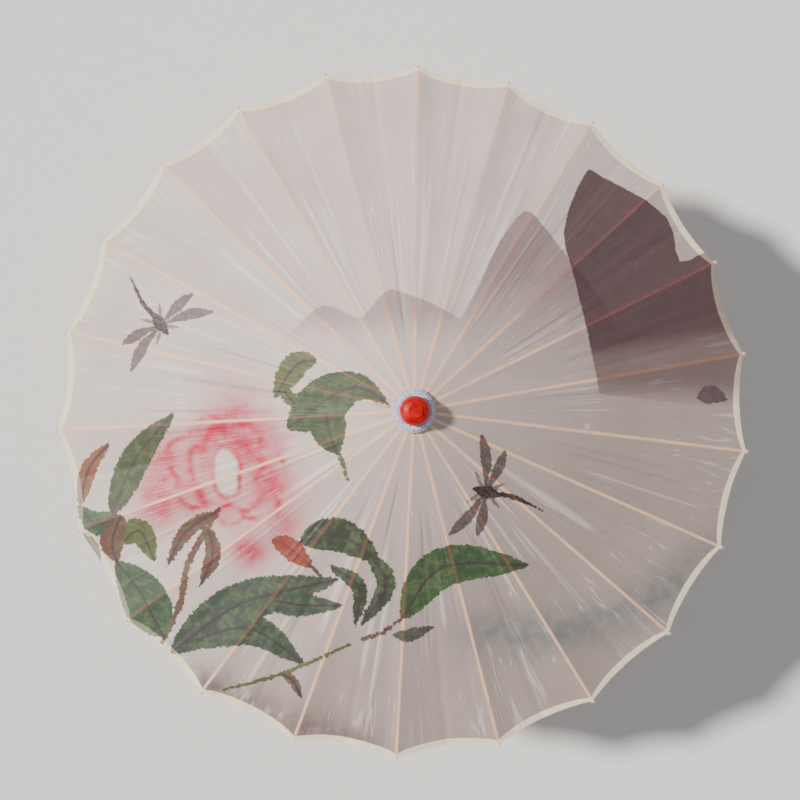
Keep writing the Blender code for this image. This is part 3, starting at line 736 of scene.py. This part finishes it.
def panel_folds():
    """For each panel, its long shallow folds: (share across, drift, start, end, height, half width)."""
    made = []
    for azimuth in AZIMUTHS:
        slack = 1.0 + 0.9 * max(0.0, -math.sin(azimuth + 0.35)) ** 1.2
        folds = []
        for _ in range(int(rng.integers(4, 7))):
            start = rng.uniform(0.10, 0.55)
            folds.append(
                (
                    rng.uniform(0.1, 0.9),
                    rng.uniform(-0.10, 0.10),
                    start,
                    min(1.02, start + rng.uniform(0.3, 0.6)),
                    slack * rng.uniform(0.22, 0.6) * MM * rng.choice([-1, 1, 1]),
                    rng.uniform(1.4, 3.9) * MM,
                )
            )
        ripples = []
        for _ in range(2):
            ripples.append((rng.uniform(0, 6.28), rng.uniform(2.2, 4.2), slack * rng.uniform(0.2, 0.5) * MM))
        made.append((folds, ripples, rng.uniform(0.8, 1.25), rng.uniform(-0.04, 0.04)))
    return made


PANEL_FOLDS = panel_folds()


def panel_middle(index):
    """The azimuth half way between a rib and the next one."""
    first, second = AZIMUTHS[index], AZIMUTHS[(index + 1) % RIB_COUNT]
    middle = (first + second) / 2
    return middle + math.pi if abs(first - second) > math.pi else middle


def loose_folds(index, across, along, chord, loose):
    """How far a panel's folds and ripples lift the cloth, and how much of a fold each point is."""
    folds, ripples, _, _ = PANEL_FOLDS[index]
    lift = np.zeros(len(across))
    fold = np.zeros(len(across))
    for share, drift, begin, finish, rise, half_width in folds:
        off = (across - share - drift * (along - 0.5)) * chord
        taper = eased(along, begin, begin + 0.12) * (1 - eased(along, finish - 0.14, finish))
        crest = loose * taper * np.exp(-((off / half_width) ** 2))
        lift += rise * crest
        fold += np.clip(rise / FULL_FOLD, -1, 1) * crest
    for phase, waves, rise in ripples:
        lift += loose * rise * along**2 * np.sin(phase + waves * math.pi * across + 5 * along)
    return lift, fold


def panel(index, across, along):
    """The cloth's underside between a rib and the next one, its hem measure in millimetres, and its folds."""
    first, second = AZIMUTHS[index], AZIMUTHS[(index + 1) % RIB_COUNT]
    radius = BORE + along * (RIM_RADIUS - BORE)
    start = np.stack([radius * math.cos(first), radius * math.sin(first)], 1)
    end = np.stack([radius * math.cos(second), radius * math.sin(second)], 1)
    chord = np.hypot(*(end - start).T)
    bow = 4 * across * (1 - across)
    pull = SCALLOP * bow * along**2
    middle = panel_middle(index)
    plan = start + across[:, None] * (end - start)
    plan -= pull[:, None] * np.array([math.cos(middle), math.sin(middle)])
    height = CROWN_HEIGHT + CLOTH_LIFT - math.tan(OPEN_SLOPE) * (radius - PIVOT_RADIUS - pull)

    _, _, depth, lean = PANEL_FOLDS[index]
    free = (across * chord - RIB_HALF_WIDTH) / np.maximum(chord - 2 * RIB_HALF_WIDTH, 1e-6)
    free = np.clip(free, 0, 1)
    hang = 4 * free * (1 - free)
    height -= depth * SAG * hang * along**1.5
    off_valley = np.abs(across - 0.5 - lean * (1 - along)) * chord
    valley = np.exp(-((off_valley / VALLEY_HALF_WIDTH) ** 2)) * eased(along, 0.35, 0.95)
    height -= VALLEY_DEPTH * valley * depth
    lift, fold = loose_folds(index, across, along, chord, np.clip(hang * 2.2, 0, 1))
    height += lift

    from_rim = (1 - along) * (RIM_RADIUS - BORE)
    hem_width = HEM * (0.42 + 0.58 * np.sqrt(np.clip(bow, 0, 1)))
    height += HEM_RISE * (1 - eased(from_rim, hem_width - 0.8 * MM, hem_width + 0.4 * MM))
    return np.column_stack([plan, height]), (hem_width - from_rim) / MM, chord, fold


def grid_mesh(name, points, rows, columns):
    """A mesh of quads through points that run row by row, and each face's corners."""
    corner = (np.arange(rows - 1)[:, None] * columns + np.arange(columns - 1)).ravel()
    faces = np.stack([corner, corner + 1, corner + columns + 1, corner + columns], 1)
    mesh = bpy.data.meshes.new(name)
    mesh.vertices.add(len(points))
    mesh.vertices.foreach_set("co", points.ravel())
    mesh.loops.add(faces.size)
    mesh.loops.foreach_set("vertex_index", faces.ravel())
    mesh.polygons.add(len(faces))
    mesh.polygons.foreach_set("loop_start", np.arange(0, faces.size, 4))
    mesh.update(calc_edges=True)
    return mesh, faces


def ribs_shown(azimuth, points):
    """How clearly the rib shows through: faintly half way out along the ribs near +Y, and fully elsewhere."""
    radius = np.hypot(points[:, 0], points[:, 1]) / MM
    half_way = eased(radius, 120, 190) * (1 - eased(radius, 330, 390))
    return np.full(len(points), 1.0) - 0.88 * eased(np.sin(azimuth), 0.80, 0.93) * half_way


def gore_shape(index):
    """One rib's cloth, from mid-panel before it to mid-panel after it, with its painting."""
    half = 0.5 * (np.arange(HALF_COLUMNS + 1) / HALF_COLUMNS) ** 1.2
    inner = np.linspace(0, 1 - 1.2 * HEM / (RIM_RADIUS - BORE), ROWS - HEM_ROWS + 1)
    outer = np.linspace(inner[-1], 1, HEM_ROWS + 1)[1:]
    rows = np.concatenate([inner, outer])
    columns = 2 * HALF_COLUMNS + 1
    sides = []
    for side in (-1, 1):
        share = half if side > 0 else half[:0:-1]
        across, along = [grid.ravel() for grid in np.meshgrid(share, rows)]
        if side > 0:
            points, hem, chord, fold = panel(index, across, along)
        else:
            points, hem, chord, fold = panel((index - 1) % RIB_COUNT, 1 - across, along)
        sides.append((points, hem, side * across * chord, index + side * across, along, fold, len(share)))

    def joined(part):
        """Both sides' values, row by row."""
        grids = [np.reshape(side[part], (len(rows), side[-1], -1)) for side in sides]
        return np.concatenate(grids, axis=1).reshape(len(rows) * columns, -1)

    points = joined(0)
    hem, across, turn, along, fold = [joined(part)[:, 0] for part in (1, 2, 3, 4, 5)]
    mesh, faces = grid_mesh(f"canopy_gore_{index + 1:02d}", points, len(rows), columns)
    plan = points[:, :2] / MM
    values = paint_strokes(plan) | paint_flower(plan) | paint_hills(plan) | paint_washes_and_shade(plan)
    values |= {"hem": hem, "fold": fold, "rib_across": across / MM}
    values["rib_show"] = ribs_shown(AZIMUTHS[index], points)
    for name, data in values.items():
        kind, field = ("FLOAT_COLOR", "color") if data.ndim == 2 else ("FLOAT", "value")
        mesh.attributes.new(name, kind, "POINT").data.foreach_set(field, data.astype(np.float32).ravel())
    length = along * (RIM_RADIUS - BORE) / math.cos(OPEN_SLOPE)
    for name, sideways in (("cloth", across), ("fan", turn * FAN_PANEL)):
        uv = np.stack([sideways, length], 1)[faces.ravel()]
        mesh.uv_layers.new(name=name).data.foreach_set("uv", uv.astype(np.float32).ravel())
    return mesh


def make_gore(index):
    """One rib's cloth, given its thickness and held by the rib."""
    mesh = gore_shape(index)
    mesh.materials.append(SILK)
    gore = put(mesh.name, mesh)
    finish_piece(gore, [("SOLIDIFY", {"thickness": CLOTH, "offset": 1.0})], 40)
    rib = RIB_JOINTS[index]
    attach(gore, rib["child"])
    span = (AZIMUTHS[(index + 1) % RIB_COUNT] - AZIMUTHS[index - 1]) % (2 * math.pi)
    span = min(span, 2 * math.pi - span) / 2
    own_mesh(gore)
    return gore


# ---------------------------------------------------------------- working with pieces


def take(*pieces):
    """Only these pieces are selected, and the first is active."""
    bpy.ops.object.select_all(action="DESELECT")
    for piece in pieces:
        piece.select_set(True)
    bpy.context.view_layer.objects.active = pieces[0]


def finish_piece(piece, modifiers=(), angle=35):
    """Applies modifiers in turn, and smooths the faces that meet under the angle."""
    take(piece)
    for kind, settings in modifiers:
        modifier = piece.modifiers.new(kind.lower(), kind)
        for name, value in settings.items():
            setattr(modifier, name, value)
        bpy.ops.object.modifier_apply(modifier=modifier.name)
    bpy.ops.object.shade_smooth_by_angle(angle=math.radians(angle))
    return piece


def settle(piece, name, material):
    """Names a new piece and puts its place into its mesh."""
    piece.name = piece.data.name = name
    take(piece)
    bpy.ops.object.transform_apply(location=True, rotation=True, scale=True)
    piece.data.materials.clear()
    piece.data.materials.append(material)
    return piece


def joined_piece(parts, name, material):
    """Loose parts made one piece."""
    take(*parts)
    bpy.ops.object.join()
    return finish_piece(settle(bpy.context.object, name, material), (), 60)


def hold(piece, body, node=None):
    """The body that carries a piece, and the CAD node that it stands in for."""
    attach(piece, body)
    if node:
        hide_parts(node)


def turned(name, profile, material, sides=64, angle=35):
    """A solid turned on a lathe: a disc extruded upwards through (radius, height) stations."""
    bpy.ops.object.select_all(action="DESELECT")
    radius, height = profile[0]
    start = (0, 0, height)
    bpy.ops.mesh.primitive_circle_add(vertices=sides, radius=radius, fill_type="NGON", location=start)
    bpy.ops.object.mode_set(mode="EDIT")
    for next_radius, next_height in profile[1:]:
        bpy.ops.mesh.extrude_region_move(TRANSFORM_OT_translate={"value": (0, 0, next_height - height)})
        share = next_radius / radius
        bpy.ops.transform.resize(value=(share, share, 1), center_override=(0, 0, next_height))
        radius, height = next_radius, next_height
    bpy.ops.mesh.select_all(action="DESELECT")
    bpy.ops.mesh.select_mode(type="EDGE")
    bpy.ops.mesh.select_non_manifold()
    bpy.ops.mesh.edge_face_add()
    bpy.ops.mesh.select_all(action="SELECT")
    bpy.ops.mesh.normals_make_consistent(inside=False)
    bpy.ops.object.mode_set(mode="OBJECT")
    return finish_piece(settle(bpy.context.object, name, material), (), angle)


def copied(mesh, name, index, body, node=None):
    """A copy of the first rib's piece, turned to another rib."""
    own = mesh.copy()
    own.name = name
    own.transform(Matrix.Rotation(AZIMUTHS[index] - AZIMUTHS[0], 4, "Z"))
    hold(put(name, own), body, node)


def refined_bar(node, height, slope):
    """The first rib or stretcher with its edges eased and its length and girth laid out for the grain."""
    shape = bmesh.new()
    shape.from_mesh(frame["nodes"][node].data)
    bmesh.ops.remove_doubles(shape, verts=shape.verts[:], dist=0.000005)
    bmesh.ops.dissolve_limit(shape, angle_limit=math.radians(1), verts=shape.verts[:], edges=shape.edges[:])
    mesh = bpy.data.meshes.new(node + "_bar")
    shape.to_mesh(mesh)
    shape.free()
    mesh.materials.append(BAMBOO)
    bar = put(node + "_bar", mesh)
    bevel = {"width": 0.00025, "segments": 2, "limit_method": "ANGLE", "angle_limit": math.radians(40)}
    finish_piece(bar, [("BEVEL", bevel)], 50)
    lie_flat = Matrix.Rotation(-slope, 4, "Y") @ Matrix.Rotation(-AZIMUTHS[0], 4, "Z")
    lie_flat = lie_flat @ Matrix.Translation(Vector((-PIVOTS[0].x, -PIVOTS[0].y, -height)))
    uv = mesh.uv_layers.new(name="grain")
    for loop in mesh.loops:
        place = lie_flat @ mesh.vertices[loop.vertex_index].co
        uv.data[loop.index].uv = (place.x, place.y + 0.7 * place.z)
    bpy.data.objects.remove(bar)
    return mesh


# ---------------------------------------------------------------- making


def make_canopy():
    gores = [make_gore(index) for index in range(RIB_COUNT)]
    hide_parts("canopy")


def make_ribs():
    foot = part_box("runner_cord")
    rib = refined_bar("rib_01", CROWN_HEIGHT, OPEN_SLOPE)
    stretcher = refined_bar("stretcher_01", (foot[0].z + foot[1].z) / 2, -OPEN_SLOPE)
    for index in range(RIB_COUNT):
        for kind, mesh in (("rib", rib), ("stretcher", stretcher)):
            node = f"{kind}_{index + 1:02d}"
            copied(mesh, "bamboo_" + node, index, node, node)


def make_tip_threads():
    """Thread wound round each rib's end over the hem, with its knot."""
    wrap_radius, thread_radius, knot_radius = 0.0021, 0.00048, 0.0015
    parts = []
    for step in (-0.9, 0.0, 0.9):
        bpy.ops.mesh.primitive_torus_add(
            major_segments=28,
            minor_segments=8,
            major_radius=wrap_radius,
            minor_radius=thread_radius,
            rotation=(0, math.pi / 2, 0),
        )
        wrap = bpy.context.object
        wrap.scale = (0.78, 1.0, 1)
        wrap.location = (step * MM, 0, 0.0003)
        parts.append(wrap)
    knot_place = (0.0006, 0.0004, 0.0019)
    bpy.ops.mesh.primitive_uv_sphere_add(segments=16, ring_count=10, radius=knot_radius, location=knot_place)
    parts.append(bpy.context.object)
    for turn, reach in ((0.5, 0.0042), (-0.9, 0.0034)):
        bpy.ops.mesh.primitive_cone_add(
            vertices=8,
            radius1=0.75 * thread_radius,
            radius2=0.375 * thread_radius,
            depth=reach,
            rotation=(math.pi / 2 + 0.35, 0, turn - math.pi / 2),
        )
        tail = bpy.context.object
        out = 0.45 * reach
        tail.location = (0.0004 + out * math.cos(turn), out * math.sin(turn), 0.0022)
        parts.append(tail)
    for part in parts:
        take(part)
        bpy.ops.object.transform_apply(location=True, rotation=True, scale=True)
    knot = joined_piece(parts, "tip_thread", THREAD)
    mesh = knot.data
    tip = Vector((RIM_RADIUS, 0, CROWN_HEIGHT - math.tan(OPEN_SLOPE) * (RIM_RADIUS - PIVOT_RADIUS)))
    slope = Matrix.Rotation(OPEN_SLOPE, 4, "Y")
    mesh.transform(Matrix.Rotation(AZIMUTHS[0], 4, "Z") @ Matrix.Translation(tip) @ slope)
    bpy.data.objects.remove(knot)
    for index in range(RIB_COUNT):
        number = f"{index + 1:02d}"
        copied(mesh, "tip_thread_" + number, index, "rib_" + number)


def make_collar(tie, cord_radius):
    """Crinkled gauze gathered over the crown: a puffed cap, a tied waist and a ruffled skirt."""
    low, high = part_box("collar")
    waist = cord_radius - 0.0022
    stations = [
        (0.0080, high.z - 0.0006),
        (0.0125, high.z - 0.0006),
        (0.0150, high.z - 0.0001),
        (0.0175, high.z + 0.0005),
        (0.0198, high.z + 0.0003),
        (0.0216, high.z - 0.0011),
        (0.0224, high.z - 0.0026),
        (waist, tie + 0.0002),
        (waist + 0.0003, tie - 0.0012),
        (waist + 0.0010, tie - 0.0022),
        (high.x - 0.0009, low.z + 0.0025),
        (high.x + 0.0001, low.z + 0.0018),
    ]
    line = smooth_line([(radius / MM, height / MM) for radius, height in stations], 5) * MM
    out, up = line[:, 0:1], line[:, 1:2]
    columns = 300
    angle = np.arange(columns) * 2 * math.pi / columns
    share = np.linspace(0, 1, len(line))[:, None]
    pleats = np.zeros(columns)
    for count, rise in ((19, 0.5), (31, 0.42), (47, 0.3), (73, 0.18)):
        pleats += rise * np.sin(count * angle + rng.uniform(0, 6.28))
    creases = np.sin(60 * share + 4 * np.sin(3 * angle)) * np.sin(23 * angle + 9 * share)
    gathered = 0.55 * MM * pleats * (0.25 + 0.75 * share) + 0.16 * MM * creases * share
    tied = np.exp(-(((up - tie) / (0.9 * MM)) ** 2)) * (out > 21 * MM)
    gathered = gathered * (1 - 0.75 * tied)
    radius = out + gathered
    radius[-1] += 0.6 * MM * np.sin(29 * angle + 2 * np.sin(5 * angle))
    height = up + 0.6 * np.abs(gathered) + 0.2 * MM * creases * share
    points = np.stack([radius * np.cos(angle), radius * np.sin(angle), height], 2).reshape(-1, 3)
    faces = []
    for row in range(len(line) - 1):
        above, below = row * columns, (row + 1) * columns
        for column in range(columns):
            after = (column + 1) % columns
            faces.append((above + column, below + column, below + after, above + after))
    mesh = bpy.data.meshes.new("gathered_collar")
    mesh.from_pydata(points.tolist(), [], faces)
    mesh.materials.append(GAUZE)
    collar = put("gathered_collar", mesh)
    finish_piece(collar, [("SOLIDIFY", {"thickness": 0.0004, "offset": 1.0})], 50)
    hold(collar, "frame", "collar")


def make_collar_cord(tie, cord_radius):
    """Two strands twisted into the cord that ties the collar."""
    middle, strand_radius, lay = cord_radius - 0.0007, 0.00042, 0.0004
    twists = 46
    steps = twists * 8
    strands = []
    for phase in (0, math.pi):
        curve = bpy.data.curves.new("strand", "CURVE")
        curve.dimensions = "3D"
        curve.bevel_depth = strand_radius
        curve.bevel_resolution = 2
        spline = curve.splines.new("POLY")
        spline.points.add(steps - 1)
        for step in range(steps):
            around = 2 * math.pi * step / steps
            twist = phase + twists * around
            out, up = middle + lay * math.cos(twist), tie + lay * math.sin(twist)
            spline.points[step].co = (out * math.cos(around), out * math.sin(around), up, 1)
        spline.use_cyclic_u = True
        strands.append(put("strand", curve))
    take(*strands)
    bpy.ops.object.convert(target="MESH")
    cord = joined_piece(strands, "twisted_collar_cord", CORD)
    hold(cord, "frame", "collar_cord")


def make_gathered_crown():
    low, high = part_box("collar_cord")
    tie = (low.z + high.z) / 2
    make_collar(tie, high.x)
    make_collar_cord(tie, high.x)


def make_finial():
    """A lacquered knob: a narrow foot, a round belly and a flat top with an eased edge."""
    low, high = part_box("finial")
    belly_radius, height = high.x, high.z - low.z
    belly = low.z + 0.40 * height
    flat = 0.0089
    shoulder, shoulder_top = flat + 0.0006, high.z - 0.0016
    foot, foot_top = 0.65 * belly_radius, low.z + 0.0015
    under_steps, over_steps = 12, 16
    profile = [(foot - 0.0005, low.z), (foot, low.z + 0.0004), (foot, low.z + 0.0014)]
    for step in range(1, under_steps + 1):
        angle = math.pi / 2 * step / under_steps
        radius = foot + (belly_radius - foot) * math.sin(angle)
        profile.append((radius, belly - (belly - foot_top) * math.cos(angle)))
    for step in range(1, over_steps):
        angle = math.pi / 2 * step / over_steps
        radius = shoulder + (belly_radius - shoulder) * math.cos(angle)
        profile.append((radius, belly + (shoulder_top - belly) * math.sin(angle)))
    profile += [
        (shoulder, shoulder_top),
        (flat + 0.0001, high.z - 0.0013),
        (flat, high.z - 0.0006),
        (flat - 0.0005, high.z - 0.0001),
        (flat - 0.0011, high.z),
        (0.0040, high.z - 0.0001),
        (0.0004, high.z),
    ]
    finial = turned("lacquered_finial", profile, RED, 96, 40)
    hold(finial, "frame", "finial")


def bead(radius, height, rise, width, steps):
    """A half-round bead's stations, from its lower edge up."""
    stations = []
    for step in range(steps + 1):
        share = step / steps
        stations.append((radius + rise * math.sin(math.pi * share), height + width * share))
    return stations


def make_handle():
    """A turned grip with beads at both ends, and the cap under it."""
    low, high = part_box("handle")
    wide, base, top = high.x, low.z, high.z
    neck = wide - 0.0025
    waist = (wide + neck) / 2
    profile = [(wide - 0.0006, base), (wide, base + 0.0006), (wide, base + 0.0085)]
    for height in (base + 0.0090, base + 0.0118):
        profile += bead(wide - 0.0006, height, 0.0005, 0.0024, 4)
    grip_low, grip_high = base + 0.0170, top - 0.0150
    grip_steps = 12
    profile += [(wide, base + 0.0148), (wide - 0.0001, grip_low)]
    for step in range(1, grip_steps):
        share = step / grip_steps
        swell = 0.0006 * math.sin(math.pi * share)
        radius = wide + (waist - wide) * eased(share, 0, 0.6) + swell
        profile.append((float(radius), grip_low + share * (grip_high - grip_low)))
    profile += [(waist, grip_high), (waist - 0.0002, top - 0.0138)]
    profile += bead(neck - 0.0004, top - 0.0130, 0.0010, 0.0030, 6)
    profile += [(neck, top - 0.0090), (neck, top - 0.0012)]
    profile += [(neck - 0.0004, top - 0.0003), (neck - 0.0011, top)]
    handle = turned("turned_handle", profile, DARK, 64, 50)
    hold(handle, "frame", "handle")

    cap_top = base - 0.0003
    profile = [(wide - 0.0020, 0), (wide - 0.0008, 0.0002), (wide - 0.0001, 0.0010), (wide, 0.0018)]
    profile += [(wide, cap_top - 0.0006), (wide - 0.0005, cap_top)]
    cap = turned("turned_end_cap", profile, RED, 64, 50)
    hold(cap, "frame", "end_cap")


def make_pole():
    """A round cane with the catch's slot cut through its side."""
    low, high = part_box("pole")
    radius = high.x
    profile = [(radius - 0.0004, low.z), (radius, low.z + 0.0004)]
    profile += [(radius, high.z - 0.0006), (radius - 0.0006, high.z)]
    pole = turned("cane_pole", profile, CANE, 56, 40)
    catch_low, catch_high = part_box("catch")
    slot_width = catch_high.y - catch_low.y + 0.0006
    slot_height = catch_high.z - catch_low.z + 0.0062
    middle = (catch_high.z + catch_low.z) / 2 + 0.0011
    bpy.ops.object.select_all(action="DESELECT")
    bpy.ops.mesh.primitive_cube_add(size=1, location=(radius, 0, middle))
    bpy.context.object.scale = (radius * 2 + 0.0026, slot_width, slot_height)
    cut = settle(bpy.context.object, "slot_cut", CANE)
    finish_piece(pole, [("BOOLEAN", {"operation": "DIFFERENCE", "solver": "EXACT", "object": cut})], 40)
    bpy.data.objects.remove(cut)
    hold(pole, "frame", "pole")


def dress_frame():
    """Finishes for the turned and split pieces that keep their shape."""
    finishes = {
        BIRCH: ("handle_dowel", "crown", "crown_dowel", "catch_pin", "catch", "runner"),
        CORD: ("crown_cord", "runner_cord"),
    }
    for material, nodes in finishes.items():
        for node in nodes:
            for slot in frame["nodes"][node].material_slots:
                slot.material = material


# ---------------------------------------------------------------- the studio


def make_floor():
    bpy.ops.object.select_all(action="DESELECT")
    bpy.ops.mesh.primitive_plane_add(size=12, location=(0, 0, -0.0005))
    floor = bpy.context.object
    floor.name = "floor"
    made, shader, _ = new_material("pale_matt_floor")
    feed(shader, {"Base Color": linear("EFEDE9"), "Roughness": 0.9})
    floor.data.materials.append(made)


def make_light():
    """A warm key from the left, 47 degrees up, in a soft bluish sky."""
    sun = bpy.data.lights.new("key", "SUN")
    sun.energy = 5.0
    sun.angle = math.radians(5)
    sun.color = (1.0, 0.96, 0.91)
    elevation = math.radians(47)
    to_sun = Vector((-math.cos(elevation) * 0.97, math.cos(elevation) * 0.24, math.sin(elevation)))
    put("key", sun).rotation_euler = to_sun.to_track_quat("Z", "Y").to_euler()
    world = bpy.data.worlds.new("soft_sky")
    bpy.context.scene.world = world
    world.use_nodes = True
    feed(world.node_tree.nodes["Background"], {"Color": (0.90, 0.93, 1.0, 1), "Strength": 0.36})


def make_camera():
    """Looking almost straight down on the canopy."""
    data = bpy.data.cameras.new("camera")
    data.lens = 66.8
    data.sensor_width = 36
    camera = put("camera", data)
    tilt = Matrix.Rotation(math.radians(0.55), 4, "X") @ Matrix.Rotation(math.radians(-2.84), 4, "Y")
    camera.matrix_world = Matrix.Translation((-0.0973, -0.0037, 2.1694)) @ tilt
    bpy.context.scene.camera = camera


make_canopy()
make_ribs()
make_tip_threads()
make_gathered_crown()
make_finial()
make_handle()
make_pole()
dress_frame()
make_floor()
make_light()
make_camera()

bpy.context.view_layer.update()
